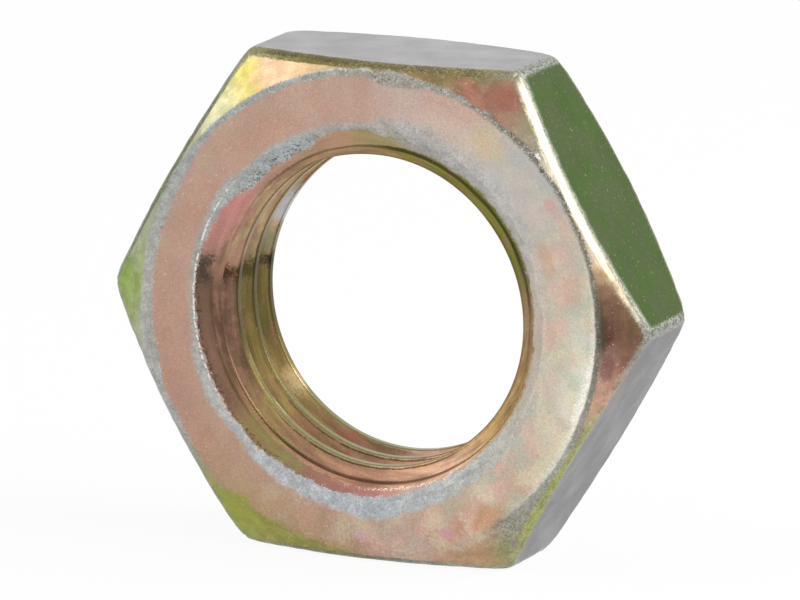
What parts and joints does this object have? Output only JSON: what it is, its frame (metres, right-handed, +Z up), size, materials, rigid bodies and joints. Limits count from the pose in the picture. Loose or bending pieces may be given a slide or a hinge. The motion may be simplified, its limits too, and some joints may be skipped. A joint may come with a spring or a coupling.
{
  "type": "jam nut",
  "caption": "Thin hexagon nut with chamfered corners on both faces and a countersunk threaded through hole, used to lock another nut.",
  "frame": {"origin": "on the thread axis, half way through the nut's thickness", "axes": "+Z up, from the flat it stands on to the flat at the top; +Y along the thread axis, from the front face seen in the picture to the back face; +X towards the corner on the right of the front face"},
  "size_m": [0.0368, 0.01, 0.032],
  "materials": {
    "plated_steel": "yellow passivated zinc plating, satin, with pink, green and grey bloom"
  },
  "bodies": {
    "root": {"jam_nut": "plated_steel"}
  },
  "joints": []
}
